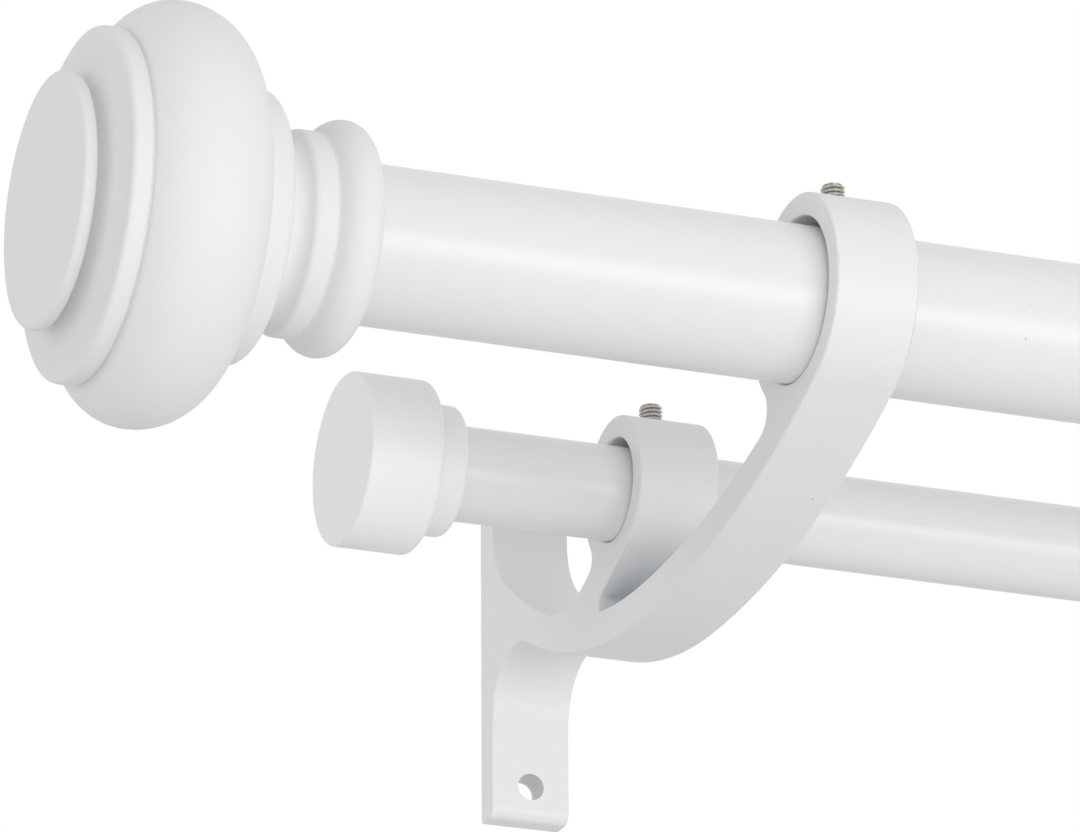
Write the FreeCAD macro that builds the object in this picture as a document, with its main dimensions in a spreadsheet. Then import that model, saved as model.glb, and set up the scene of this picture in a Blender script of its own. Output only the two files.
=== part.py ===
"""Double curtain pole: two telescopic tubes on a pair of one-piece double brackets.

Millimetres, +Z up, +X along the poles, +Y into the wall. The origin is the middle of the
left bracket's wall screw pattern, on the wall. The right end is drawn pushed in.
"""
import FreeCAD, Part
import math
import os
import Sketcher

# Driving sizes, each read from one cell of the sheet
SIZES = {
    # Whole pole
    "bracket_spacing": 547.2,
    "front_overhang": 82.0,
    "back_overhang": 36.4,
    "front_projection": 137.4,
    "back_projection": 60.6,
    "front_height": 11.9,
    "back_height": 6.0,
    # Telescopic tubes
    "front_tube_radius": 12.7,
    "back_tube_radius": 7.9375,
    "tube_step": 1.5875,
    "tube_wall": 0.8,
    "mouth_gap": 20.0,
    "lip_length": 1.4,
    "lip_clearance": 0.25,
    "lip_round": 0.5,
    # Double bracket
    "bracket_half_width": 7.0,
    "plate_thickness": 5.5,
    "plate_reach": 33.5,
    "plate_round": 2.0,
    "plate_back_round": 0.6,
    "wall_hole_reach": 27.6,
    "wall_hole_radius": 2.35,
    "ring_wall": 3.8,
    "ring_play": 0.8,
    "seat_gap": 0.05,
    "arm_thickness": 6.0,
    "arm_low_reach": 69.4,
    "arm_drop": 19.8,
    "arm_rear_radius": 100.0,
    "branch_slope": 24.6,
    "branch_thickness": 7.0,
    "upper_leg_fillet": 14.0,
    "lower_leg_fillet": 10.4,
    "branch_fillet": 20.0,
    "branch_tip_fillet": 1.5,
    "front_ring_fillet": 4.0,
    "back_ring_fillet": 2.5,
    "bracket_edge_round": 0.35,
    # Clamp screws
    "screw_radius": 1.95,
    "screw_length": 8.4,
    "screw_clearance": 0.1,
    "screw_tip_gap": 0.05,
    "screw_chamfer": 0.4,
    "screw_socket_corner": 1.15,
    "screw_socket_depth": 2.5,
    # Turned finial, stations measured from its front face
    "finial_length": 50.0,
    "disc_radius": 20.2,
    "disc_thickness": 2.2,
    "disc_round": 0.8,
    "cove_radius": 16.5,
    "cove_curve": 12.0,
    "cove_top_radius": 26.4,
    "rim_start": 5.2,
    "rim_end": 8.6,
    "rim_radius": 27.8,
    "rim_round": 0.9,
    "rim_back_round": 0.5,
    "bulge_peak": 17.6,
    "bulge_radius": 33.3,
    "bulge_rise": 6.1,
    "bulge_fall": 10.6,
    "bulge_end": 29.0,
    "step_radius": 21.8,
    "step_end": 34.0,
    "step_round": 2.2,
    "neck_start_radius": 15.2,
    "neck": 36.3,
    "neck_radius": 14.2,
    "collar_start": 38.5,
    "collar_foot_radius": 15.5,
    "collar_radius": 16.3,
    "collar_end": 42.4,
    "collar_round": 0.5,
    "bead_peak": 46.5,
    "bead_radius": 18.7,
    "bead_rise": 3.0,
    "bead_fall": 3.1,
    # Cylindrical end cap, stations measured from its front face
    "cap_radius": 14.5,
    "cap_head_length": 12.8,
    "cap_length": 18.4,
    "cap_collar_radius": 10.9,
    "cap_front_round": 0.5,
    "cap_back_round": 1.0,
    # Studs and the moulded plugs that take them
    "finial_stud_radius": 3.0,
    "finial_stud_depth": 20.0,
    "cap_stud_radius": 2.0,
    "cap_stud_depth": 10.0,
    "stud_grip": 16.0,
    "stud_chamfer": 0.5,
    "stud_clearance": 0.05,
    "stud_end_gap": 1.0,
    "plug_length": 22.0,
    "plug_core_wall": 1.6,
    "plug_rib_half_width": 0.8,
    "plug_rib_count": 6.0,
    "press_gap": 0.05,
    # Glides on the inner ends of the inner tubes
    "glide_head_length": 6.0,
    "glide_spigot_length": 14.0,
    "glide_wall": 1.6,
    "glide_clearance": 0.2,
    "closed_gap": 1.0,
}

# Sizes that several pieces share, written as sums of the cells above
FRONT_BORE = "front_tube_radius - tube_wall"
BACK_BORE = "back_tube_radius - tube_wall"
FRONT_INNER = "front_tube_radius - tube_step"
BACK_INNER = "back_tube_radius - tube_step"
FRONT_INNER_BORE = FRONT_INNER + " - tube_wall"
BACK_INNER_BORE = BACK_INNER + " - tube_wall"
FRONT_HOLE = "front_tube_radius + ring_play"
BACK_HOLE = "back_tube_radius + ring_play"
FRONT_RING = FRONT_HOLE + " + ring_wall"
BACK_RING = BACK_HOLE + " + ring_wall"
RING_LIFT = " + ring_play - seat_gap"
OUTER_LENGTH = " + bracket_spacing - bracket_half_width - mouth_gap"
TUBE_START = " + plug_length + closed_gap + glide_head_length"

doc = FreeCAD.newDocument("double_curtain_pole")
sheet = doc.addObject("Spreadsheet::Sheet", "Sizes")
for row, (name, size) in enumerate(SIZES.items(), start=1):
    sheet.set(f"A{row}", name)
    sheet.set(f"B{row}", str(size))
    sheet.setAlias(f"B{row}", name)
doc.recompute()


def value(text):
    """The number that a sum of cell names stands for."""
    total = 0.0
    sign = 1.0
    for word in text.split():
        if word in "+-":
            sign = 1.0 if word == "+" else -1.0
        elif word != "0":
            total += sign * SIZES[word]
            sign = 1.0
    return total


def cells(text):
    """The same sum as an expression on the sheet."""
    return " ".join(word if word in "+-0" else "Sizes." + word for word in text.split())


def place(body, x="0", y="0", z="0", turned=False):
    """Put a sub-part at a place given as sums of cells, turned end for end about Z if asked."""
    if turned:
        body.Placement.Rotation = FreeCAD.Rotation(FreeCAD.Vector(0, 0, 1), 180)
    for axis, text in (("x", x), ("y", y), ("z", z)):
        body.setExpression(".Placement.Base." + axis, cells(text))


def new_body(label):
    body = doc.addObject("PartDesign::Body", label)
    body.Label = label
    return body


def sketch_on(body, role, name):
    """A sketch on one of the body's own origin planes."""
    sketch = body.newObject("Sketcher::SketchObject", name)
    plane = [item for item in body.Origin.OriginFeatures if item.Role == role][0]
    sketch.AttachmentSupport = [(plane, "")]
    sketch.MapMode = "FlatFace"
    return sketch


def rule(sketch, text, kind, *points):
    """A dimension of a sketch, bound to a sum of cells."""
    index = sketch.addConstraint(Sketcher.Constraint(kind, *points, value(text)))
    sketch.setExpression(f"Constraints[{index}]", cells(text))


def locate(sketch, item, point, x, y):
    """Fix a sketch point by its distances from the two axes."""
    for text, kind, axis in ((x, "DistanceX", -2), (y, "DistanceY", -1)):
        if text == "0":
            sketch.addConstraint(Sketcher.Constraint("PointOnObject", item, point, axis))
        else:
            rule(sketch, text, kind, item, point)


def circle(sketch, x, y, radius):
    """A circle whose centre and radius are sums of cells."""
    centre = FreeCAD.Vector(value(x), value(y), 0)
    item = sketch.addGeometry(Part.Circle(centre, FreeCAD.Vector(0, 0, 1), value(radius)), False)
    locate(sketch, item, 3, x, y)
    rule(sketch, radius, "Radius", item)


def level_arc(peak, foot):
    """Arc from a peak, where it runs along the axis, to a foot point."""
    run = foot.x - peak.x
    rise = foot.y - peak.y
    radius = (run * run + rise * rise) / (2 * abs(rise))
    centre = FreeCAD.Vector(peak.x, peak.y + math.copysign(radius, rise), 0)
    half_way = (peak - centre).normalize() + (foot - centre).normalize()
    return Part.Arc(peak, centre + half_way.normalize() * radius, foot)


def hollow_arc(start, end, radius):
    """Arc of a given radius that sags to the right of the line from start to end."""
    chord = end - start
    half = chord.Length / 2
    sag = radius - math.sqrt(radius * radius - half * half)
    side = FreeCAD.Vector(chord.y, -chord.x, 0).normalize()
    return Part.Arc(start, (start + end) * 0.5 + side * sag, end)


def outline(sketch, corners):
    """Closed profile through corners (x, y, run), the run saying how it goes to the next corner.

    A run is "line", "from peak" or "to peak" (arcs that lie along the axis at that corner),
    or the cell that holds the radius of a hollow.
    """
    points = [FreeCAD.Vector(value(x), value(y), 0) for x, y, run in corners]
    ends = []
    for index, (x, y, run) in enumerate(corners):
        start = points[index]
        end = points[(index + 1) % len(points)]
        if run == "line":
            shape = Part.LineSegment(start, end)
        elif run == "from peak":
            shape = level_arc(start, end)
        elif run == "to peak":
            shape = level_arc(end, start)
        else:
            shape = hollow_arc(start, end, value(run))
        item = sketch.addGeometry(shape, False)
        first = sketch.getPoint(item, 1)
        ends.append((1, 2) if first.distanceToPoint(start) < first.distanceToPoint(end) else (2, 1))
    for index, (x, y, run) in enumerate(corners):
        following = (index + 1) % len(corners)
        near, far = ends[index]
        sketch.addConstraint(
            Sketcher.Constraint("Coincident", index, far, following, ends[following][0]))
        locate(sketch, index, near, x, y)
        if run == "from peak":
            sketch.addConstraint(Sketcher.Constraint("Vertical", index, 3, index, near))
        elif run == "to peak":
            sketch.addConstraint(Sketcher.Constraint("Vertical", index, 3, index, far))
        elif run != "line":
            rule(sketch, run, "Radius", index)


def revolve(body, name, corners):
    """Turn a profile about the X axis."""
    sketch = sketch_on(body, "XY_Plane", name + "_profile")
    outline(sketch, corners)
    turned = body.newObject("PartDesign::Revolution", name)
    turned.Profile = sketch
    turned.ReferenceAxis = (sketch, ["H_Axis"])
    turned.Angle = 360
    doc.recompute()
    return turned


def fillet(body, name, edges, radius):
    """Round edges of the body's tip, given by their numbers."""
    base = body.Tip
    rounded = body.newObject("PartDesign::Fillet", name)
    rounded.Base = (base, [f"Edge{number}" for number in edges])
    rounded.setExpression("Radius", cells(radius))
    doc.recompute()
    return rounded


def circular_edges(shape, x, radius):
    """Numbers of the full circles about the X axis at one station."""
    found = []
    for number, edge in enumerate(shape.Edges, start=1):
        if not isinstance(edge.Curve, Part.Circle):
            continue
        same_radius = abs(edge.Curve.Radius - value(radius)) < 0.01
        if same_radius and abs(edge.Curve.Center.x - value(x)) < 0.01:
            found.append(number)
    return found


def round_rims(body, name, rims, radius):
    """Round the turned edges at stations (x, radius)."""
    edges = [edge for x, r in rims for edge in circular_edges(body.Tip.Shape, x, r)]
    fillet(body, name, edges, radius)


def sink(body, name, sketch, depth=None, both_ways=False, reversed_way=False):
    """Cut a sketch into the body, right through when no depth is given."""
    before = body.Tip.Shape.Volume
    cut = body.newObject("PartDesign::Pocket", name)
    cut.Profile = sketch
    if depth is None:
        cut.Type = "ThroughAll"
    else:
        cut.Type = "Length"
        cut.setExpression("Length", cells(depth))
    if both_ways:
        cut.SideType = "Symmetric"
    cut.Reversed = reversed_way
    doc.recompute()
    if not cut.Shape.Volume < before - 1.0:
        raise RuntimeError(f"{body.Label}: {name} cuts nothing")


def extrude(body, name, sketch):
    """Pad a sketch over the bracket's width, half to each side."""
    pad = body.newObject("PartDesign::Pad", name)
    pad.Profile = sketch
    pad.SideType = "Symmetric"
    pad.setExpression("Length", "2 * Sizes.bracket_half_width")
    doc.recompute()


def point_at(centre, radius, point):
    """Point of a circle in the direction of another point."""
    return centre + (point - centre).normalize() * radius


def circle_crossing(centre_a, radius_a, centre_b, radius_b, sign):
    """One of the two points where two circles cross."""
    line = centre_b - centre_a
    gap = line.Length
    along = (gap * gap + radius_a * radius_a - radius_b * radius_b) / (2 * gap)
    off = math.sqrt(radius_a * radius_a - along * along)
    line.normalize()
    return centre_a + line * along + FreeCAD.Vector(-line.y, line.x, 0) * (sign * off)


def arm_sketch(body):
    """Profile of the arm and the front ring in one outline.

    The arm is a strip of even thickness on two arcs that meet level at its lowest point.
    Its underside runs smoothly into the front ring; its top meets the ring at a corner.
    """
    sketch = sketch_on(body, "YZ_Plane", "arm_profile")
    thickness = value("arm_thickness")
    low = FreeCAD.Vector(-value("arm_low_reach"), -value("arm_drop"), 0)
    low_top = low + FreeCAD.Vector(0, thickness, 0)
    ring = FreeCAD.Vector(-value("front_projection"), value("front_height" + RING_LIFT), 0)
    ring_radius = value(FRONT_RING)
    run = ring.x - low.x
    rise = ring.y - low.y
    under_radius = (run * run + rise * rise - ring_radius ** 2) / (2 * (rise - ring_radius))
    front = low + FreeCAD.Vector(0, under_radius, 0)
    rear_radius = value("arm_rear_radius")
    rear = low + FreeCAD.Vector(0, rear_radius, 0)
    touch = point_at(front, under_radius, ring)
    corner = circle_crossing(front, under_radius - thickness, ring, ring_radius, 1)
    if corner.x < ring.x:
        corner = circle_crossing(front, under_radius - thickness, ring, ring_radius, -1)
    end_x = -value("plate_thickness") / 2
    drop = math.sqrt(rear_radius ** 2 - (end_x - rear.x) ** 2)
    end_low = FreeCAD.Vector(end_x, rear.y - drop, 0)
    drop = math.sqrt((rear_radius - thickness) ** 2 - (end_x - rear.x) ** 2)
    end_top = FreeCAD.Vector(end_x, rear.y - drop, 0)
    ring_front = ring - FreeCAD.Vector(ring_radius, 0, 0)

    def middle(centre, start, end):
        return point_at(centre, (start - centre).Length, (start + end) * 0.5)

    under_front = sketch.addGeometry(Part.Arc(touch, middle(front, touch, low), low), False)
    around = sketch.addGeometry(Part.Arc(corner, ring_front, touch), False)
    top_front = sketch.addGeometry(Part.Arc(corner, middle(front, corner, low_top), low_top), False)
    top_rear = sketch.addGeometry(Part.Arc(low_top, middle(rear, low_top, end_top), end_top), False)
    close = sketch.addGeometry(Part.LineSegment(end_top, end_low), False)
    under_rear = sketch.addGeometry(Part.Arc(low, middle(rear, low, end_low), end_low), False)

    def end_of(item, point):
        return 1 if sketch.getPoint(item, 1).distanceToPoint(point) < 0.001 else 2

    meetings = (
        ("Tangent", under_front, around, touch),
        ("Coincident", around, top_front, corner),
        ("Coincident", top_front, top_rear, low_top),
        ("Coincident", top_rear, close, end_top),
        ("Coincident", close, under_rear, end_low),
        ("Coincident", under_rear, under_front, low),
    )
    for kind, one, other, point in meetings:
        sketch.addConstraint(
            Sketcher.Constraint(kind, one, end_of(one, point), other, end_of(other, point)))
    low_end = end_of(under_front, low)
    sketch.addConstraint(Sketcher.Constraint("Coincident", under_front, 3, top_front, 3))
    sketch.addConstraint(Sketcher.Constraint("Coincident", under_rear, 3, top_rear, 3))
    sketch.addConstraint(Sketcher.Constraint("Vertical", under_front, 3, under_front, low_end))
    sketch.addConstraint(Sketcher.Constraint("Vertical", under_rear, 3, under_front, low_end))
    sketch.addConstraint(
        Sketcher.Constraint("Vertical", top_front, end_of(top_front, low_top), under_front, low_end))
    sketch.addConstraint(Sketcher.Constraint("Vertical", close))
    locate(sketch, under_front, low_end, "- arm_low_reach", "- arm_drop")
    locate(sketch, around, 3, "- front_projection", "front_height" + RING_LIFT)
    rule(sketch, FRONT_RING, "Radius", around)
    rule(sketch, "arm_rear_radius", "Radius", under_rear)
    rule(sketch, "arm_thickness", "DistanceY", under_front, low_end, top_front, end_of(top_front, low_top))
    index = sketch.addConstraint(Sketcher.Constraint("DistanceX", close, 1, end_x))
    sketch.setExpression(f"Constraints[{index}]", "- Sizes.plate_thickness / 2")
    return sketch, under_radius


def branch_sketch(body):
    """Profile of the back ring and the branch that carries it off the arm.

    The branch's lower edge is tangent to the ring, and both edges end on the arm's middle line.
    """
    sketch = sketch_on(body, "YZ_Plane", "branch_profile")
    ring = FreeCAD.Vector(-value("back_projection"), value("back_height" + RING_LIFT), 0)
    ring_radius = value(BACK_RING)
    slope = math.radians(value("branch_slope"))
    along = FreeCAD.Vector(math.cos(slope), -math.sin(slope), 0)
    across = FreeCAD.Vector(math.sin(slope), math.cos(slope), 0)
    touch = ring - across * ring_radius
    offset = ring_radius - value("branch_thickness")
    corner = ring - across * offset + along * math.sqrt(ring_radius ** 2 - offset ** 2)
    centre = FreeCAD.Vector(-value("arm_low_reach"), value("arm_rear_radius") - value("arm_drop"), 0)
    middle_radius = value("arm_rear_radius") - value("arm_thickness") / 2

    def reach_arm(start):
        gap = start - centre
        ahead = gap.dot(along)
        return start + along * (math.sqrt(ahead ** 2 - gap.Length ** 2 + middle_radius ** 2) - ahead)

    low_end = reach_arm(touch)
    top_end = reach_arm(corner)
    ring_top = ring + across * ring_radius
    lower = sketch.addGeometry(Part.LineSegment(low_end, touch), False)
    around = sketch.addGeometry(Part.Arc(corner, ring_top, touch), False)
    upper = sketch.addGeometry(Part.LineSegment(corner, top_end), False)
    close = sketch.addGeometry(Part.LineSegment(top_end, low_end), False)
    axis = FreeCAD.Vector(0, 0, 1)
    guide = sketch.addGeometry(Part.Circle(centre, axis, middle_radius), True)

    def end_of(point):
        return 1 if sketch.getPoint(around, 1).distanceToPoint(point) < 0.001 else 2

    for rule_kind in (
        ("Tangent", lower, 2, around, end_of(touch)),
        ("Coincident", around, end_of(corner), upper, 1),
        ("Coincident", upper, 2, close, 1),
        ("Coincident", close, 2, lower, 1),
        ("Parallel", lower, upper),
        ("PointOnObject", lower, 1, guide),
        ("PointOnObject", upper, 2, guide),
    ):
        sketch.addConstraint(Sketcher.Constraint(*rule_kind))
    locate(sketch, around, 3, "- back_projection", "back_height" + RING_LIFT)
    rule(sketch, BACK_RING, "Radius", around)
    rule(sketch, "branch_thickness", "Distance", upper, 1, lower)
    index = sketch.addConstraint(Sketcher.Constraint("Angle", upper, -slope))
    sketch.setExpression(f"Constraints[{index}]", "- Sizes.branch_slope * 1 deg")
    locate(sketch, guide, 3, "- arm_low_reach", "arm_rear_radius - arm_drop")
    index = sketch.addConstraint(Sketcher.Constraint("Radius", guide, middle_radius))
    sketch.setExpression(f"Constraints[{index}]", "Sizes.arm_rear_radius - Sizes.arm_thickness / 2")
    return sketch


def is_round(face, radius):
    return isinstance(face.Surface, Part.Cylinder) and abs(face.Surface.Radius - radius) < 0.01


def is_plate_front(face):
    flat = isinstance(face.Surface, Part.Plane)
    return flat and abs(face.CenterOfMass.y + value("plate_thickness")) < 0.01


def is_branch_side(face):
    if not isinstance(face.Surface, Part.Plane):
        return False
    normal = face.normalAt(0, 0)
    tilted = abs(normal.x) < 0.01 and abs(normal.y) > 0.01 and abs(normal.z) > 0.01
    return tilted


def edges_between(shape, first, second):
    """Numbers of the straight edges along X that part two kinds of face, from the room inwards."""
    found = []
    for number, edge in enumerate(shape.Edges, start=1):
        if not isinstance(edge.Curve, Part.Line) or abs(edge.tangentAt(edge.FirstParameter).x) < 0.99:
            continue
        faces = shape.ancestorsOfType(edge, Part.Face)
        if len(faces) != 2:
            continue
        one, other = faces
        if (first(one) and second(other)) or (first(other) and second(one)):
            found.append((edge.CenterOfMass.y, number))
    return [number for depth, number in sorted(found)]


def double_bracket(label, x, z):
    """One-piece bracket: wall plate, bowed arm, front ring and back ring, all one width."""
    body = new_body(label)
    plate = sketch_on(body, "YZ_Plane", "plate_profile")
    outline(plate, [
        ("0", "- plate_reach", "line"),
        ("0", "plate_reach", "line"),
        ("- plate_thickness", "plate_reach", "line"),
        ("- plate_thickness", "- plate_reach", "line"),
    ])
    extrude(body, "plate", plate)
    arm, under_radius = arm_sketch(body)
    extrude(body, "arm", arm)
    extrude(body, "branch", branch_sketch(body))

    thickness = value("arm_thickness")
    front_top = under_radius - thickness
    rear_under = value("arm_rear_radius")
    rear_top = rear_under - thickness
    joints = (
        ("upper_leg", is_plate_front, lambda face: is_round(face, rear_top), 0),
        ("lower_leg", is_plate_front, lambda face: is_round(face, rear_under), 0),
        ("branch", is_branch_side, lambda face: is_round(face, rear_top), -1),
        ("branch_tip", is_branch_side, lambda face: is_round(face, rear_top), 0),
        ("front_ring", lambda face: is_round(face, value(FRONT_RING)),
         lambda face: is_round(face, front_top), 0),
        ("back_ring", lambda face: is_round(face, value(BACK_RING)), is_branch_side, -1),
    )
    for name, first, second, pick in joints:
        edges = edges_between(body.Tip.Shape, first, second)
        fillet(body, name + "_round", [edges[pick]], name + "_fillet")

    for name, depth, radius in (
        ("plate_ends", value("plate_thickness"), "plate_round"),
        ("plate_back_ends", 0.0, "plate_back_round"),
    ):
        ends = []
        for number, edge in enumerate(body.Tip.Shape.Edges, start=1):
            middle = edge.CenterOfMass
            at_end = abs(abs(middle.z) - value("plate_reach")) < 0.01
            if at_end and abs(middle.y + depth) < 0.01:
                ends.append(number)
        fillet(body, name, ends, radius)

    bores = sketch_on(body, "YZ_Plane", "ring_bores")
    circle(bores, "- front_projection", "front_height" + RING_LIFT, FRONT_HOLE)
    circle(bores, "- back_projection", "back_height" + RING_LIFT, BACK_HOLE)
    sink(body, "bores", bores, both_ways=True)

    rims = []
    for number, edge in enumerate(body.Tip.Shape.Edges, start=1):
        if abs(abs(edge.BoundBox.XMin) - value("bracket_half_width")) > 0.001:
            continue
        if edge.BoundBox.XLength < 0.001:
            rims.append(number)
    fillet(body, "edge_rounds", rims, "bracket_edge_round")

    wall_holes = sketch_on(body, "XZ_Plane", "wall_holes")
    circle(wall_holes, "0", "wall_hole_reach", "wall_hole_radius")
    circle(wall_holes, "0", "- wall_hole_reach", "wall_hole_radius")
    sink(body, "wall_screw_holes", wall_holes, depth="plate_thickness", reversed_way=True)

    taps = (("front", "front_projection", "front_height"), ("back", "back_projection", "back_height"))
    for end, reach, height in taps:
        tap = sketch_on(body, "XY_Plane", end + "_tap")
        tap.setExpression("AttachmentOffset.Base.z", cells(height + RING_LIFT))
        circle(tap, "0", "- " + reach, "screw_radius + screw_clearance")
        sink(body, end + "_screw_hole", tap, reversed_way=True)
    place(body, x=x, z=z)
    return body


def tube(label, start, length, radius, height, reach, mouth=None):
    """Drawn tube along X. An outer tube's mouth is rolled in to guide the inner tube."""
    body = new_body(label)
    bore = radius + " - tube_wall"
    if mouth is None:
        revolve(body, "tube", [
            ("0", bore, "line"), ("0", radius, "line"), (length, radius, "line"), (length, bore, "line"),
        ])
    else:
        lip = length + " - lip_length"
        revolve(body, "tube", [
            ("0", bore, "line"), ("0", radius, "line"), (length, radius, "line"),
            (length, mouth, "line"), (lip, mouth, "line"), (lip, bore, "line"),
        ])
        round_rims(body, "rolled_mouth", [(length, radius)], "lip_round")
    place(body, x=start, y="- " + reach, z=height)
    return body


def finial(label, x, turned):
    """Turned finial: front disc, cove, rim, bulge, step, neck, collar and bead, drilled for a stud."""
    body = new_body(label)
    revolve(body, "turning", [
        ("0", "0", "line"),
        ("0", "disc_radius", "line"),
        ("disc_thickness", "disc_radius", "line"),
        ("disc_thickness", "cove_radius", "cove_curve"),
        ("rim_start", "cove_top_radius", "line"),
        ("rim_start", "rim_radius", "line"),
        ("rim_end", "rim_radius", "line"),
        ("rim_end", "bulge_radius - bulge_rise", "to peak"),
        ("bulge_peak", "bulge_radius", "from peak"),
        ("bulge_end", "bulge_radius - bulge_fall", "line"),
        ("bulge_end", "step_radius", "line"),
        ("step_end", "step_radius", "line"),
        ("step_end", "neck_start_radius", "to peak"),
        ("neck", "neck_radius", "from peak"),
        ("collar_start", "collar_foot_radius", "line"),
        ("collar_start", "collar_radius", "line"),
        ("collar_end", "collar_radius", "line"),
        ("collar_end", "bead_radius - bead_rise", "to peak"),
        ("bead_peak", "bead_radius", "from peak"),
        ("finial_length", "bead_radius - bead_fall", "line"),
        ("finial_length", "0", "line"),
    ])
    round_rims(body, "disc_edges", [("0", "disc_radius"), ("disc_thickness", "disc_radius")], "disc_round")
    round_rims(body, "rim_edge", [("rim_start", "rim_radius")], "rim_round")
    round_rims(body, "rim_back_edge", [("rim_end", "rim_radius")], "rim_back_round")
    round_rims(body, "step_edge", [("step_end", "step_radius")], "step_round")
    collar = [("collar_start", "collar_radius"), ("collar_end", "collar_radius")]
    round_rims(body, "collar_edges", collar, "collar_round")
    stud_hole(body, "finial_length", "finial_stud_radius", "finial_stud_depth")
    place(body, x=x, y="- front_projection", z="front_height", turned=turned)
    return body


def end_cap(label, x, turned):
    """Plain cylindrical cap with a smaller collar, drilled for a stud."""
    body = new_body(label)
    revolve(body, "turning", [
        ("0", "0", "line"),
        ("0", "cap_radius", "line"),
        ("cap_head_length", "cap_radius", "line"),
        ("cap_head_length", "cap_collar_radius", "line"),
        ("cap_length", "cap_collar_radius", "line"),
        ("cap_length", "0", "line"),
    ])
    round_rims(body, "front_edge", [("0", "cap_radius")], "cap_front_round")
    backs = [("cap_head_length", "cap_radius"), ("cap_length", "cap_collar_radius")]
    round_rims(body, "back_edges", backs, "cap_back_round")
    stud_hole(body, "cap_length", "cap_stud_radius", "cap_stud_depth")
    place(body, x=x, y="- back_projection", z="back_height", turned=turned)
    return body


def stud_hole(body, seat, radius, depth):
    """Blind hole for a stud in the face that seats on the tube."""
    hole = sketch_on(body, "YZ_Plane", "stud_hole")
    hole.setExpression("AttachmentOffset.Base.z", cells(seat))
    circle(hole, "0", "0", radius + " + stud_clearance")
    sink(body, "drilled", hole, depth=depth + " + stud_end_gap")


def stud(label, seat, radius, depth, reach, height, turned):
    """Threaded stud, half in the end piece and half in the tube's plug."""
    body = new_body(label)
    head = "- " + depth
    revolve(body, "rod", [
        (head, "0", "line"),
        (head, radius + " - stud_chamfer", "line"),
        (head + " + stud_chamfer", radius, "line"),
        ("stud_grip - stud_chamfer", radius, "line"),
        ("stud_grip", radius + " - stud_chamfer", "line"),
        ("stud_grip", "0", "line"),
    ])
    place(body, x=seat, y="- " + reach, z=height, turned=turned)
    return body


def tube_plug(label, seat, bore, stud_radius, reach, height, turned):
    """Moulded plug pressed into a tube's end: a core for the stud with ribs out to the bore."""
    body = new_body(label)
    core = stud_radius + " + stud_clearance + plug_core_wall"
    revolve(body, "core", [
        ("0", stud_radius + " + stud_clearance", "line"),
        ("0", core, "line"),
        ("plug_length", core, "line"),
        ("plug_length", stud_radius + " + stud_clearance", "line"),
    ])
    rib = sketch_on(body, "XY_Plane", "rib_profile")
    top = bore + " - press_gap"
    foot = stud_radius + " + stud_clearance + press_gap"
    outline(rib, [
        ("0", foot, "line"), ("0", top, "line"), ("plug_length", top, "line"), ("plug_length", foot, "line"),
    ])
    pad = body.newObject("PartDesign::Pad", "rib")
    pad.Profile = rib
    pad.SideType = "Symmetric"
    pad.setExpression("Length", "2 * Sizes.plug_rib_half_width")
    doc.recompute()
    ribs = body.newObject("PartDesign::PolarPattern", "ribs")
    ribs.Originals = [pad]
    axis = [item for item in body.Origin.OriginFeatures if item.Role == "X_Axis"][0]
    ribs.Axis = (axis, [""])
    ribs.Angle = 360
    ribs.setExpression("Occurrences", "Sizes.plug_rib_count")
    body.Tip = ribs
    doc.recompute()
    place(body, x=seat, y="- " + reach, z=height, turned=turned)
    return body


def glide(label, start, inner_bore, outer_bore, reach, height):
    """Moulded glide: a spigot in the inner tube's end and a head that runs in the outer tube."""
    body = new_body(label)
    spigot = inner_bore + " - press_gap"
    head = outer_bore + " - glide_clearance"
    bore = spigot + " - glide_wall"
    end = "glide_head_length + glide_spigot_length"
    revolve(body, "glide", [
        ("0", bore, "line"),
        ("0", head, "line"),
        ("glide_head_length", head, "line"),
        ("glide_head_length", spigot, "line"),
        (end, spigot, "line"),
        (end, bore, "line"),
    ])
    place(body, x=start, y="- " + reach, z=height)
    return body


def clamp_screw(label, x, reach, height, tube_radius):
    """Headless clamp screw with a hexagon socket, its point on the tube."""
    body = new_body(label)
    profile = sketch_on(body, "XZ_Plane", "shank_profile")
    outline(profile, [
        ("0", "0", "line"),
        ("screw_radius - screw_chamfer", "0", "line"),
        ("screw_radius", "screw_chamfer", "line"),
        ("screw_radius", "screw_length - screw_chamfer", "line"),
        ("screw_radius - screw_chamfer", "screw_length", "line"),
        ("0", "screw_length", "line"),
    ])
    shank = body.newObject("PartDesign::Revolution", "shank")
    shank.Profile = profile
    shank.ReferenceAxis = (profile, ["V_Axis"])
    shank.Angle = 360
    doc.recompute()
    socket = sketch_on(body, "XY_Plane", "socket_profile")
    socket.setExpression("AttachmentOffset.Base.z", cells("screw_length"))
    hexagon(socket, "screw_socket_corner")
    sink(body, "socket", socket, depth="screw_socket_depth")
    place(body, x=x, y="- " + reach, z=height + " + " + tube_radius + " + screw_tip_gap")
    return body


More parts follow.
